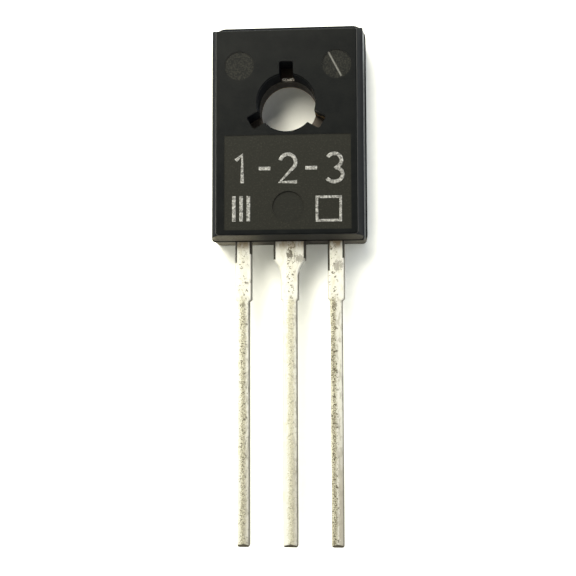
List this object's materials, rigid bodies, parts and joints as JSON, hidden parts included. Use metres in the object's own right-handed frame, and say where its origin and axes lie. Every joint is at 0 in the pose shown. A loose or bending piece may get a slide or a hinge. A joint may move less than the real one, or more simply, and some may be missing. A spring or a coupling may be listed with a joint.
{
  "type": "power transistor",
  "caption": "Through-hole power transistor: flat moulded plastic case with a screw hole, metal back plate, and straight tinned leads in a row.",
  "frame": {"origin": "on the axis of the screw hole, in the plane of the back face", "axes": "+Z out of the front face along the screw hole, -Y along the leads to their tips, +X to the right seen from the front with the leads down"},
  "size_m": [0.008, 0.0267, 0.0027],
  "materials": {
    "moulding_compound": "matte",
    "tinned_copper": "satin",
    "copper_plate": "satin",
    "silicon": "gloss",
    "solder": "satin",
    "bond_wire": "satin",
    "marking_ink": "matte"
  },
  "bodies": {
    "root": {"moulded_body": "moulding_compound", "collector_lead": "copper_plate", "emitter_lead": "tinned_copper", "base_lead": "tinned_copper", "die_solder": "solder", "silicon_die": "silicon", "emitter_bond_wire": "bond_wire", "base_bond_wire": "bond_wire"}
  },
  "joints": []
}
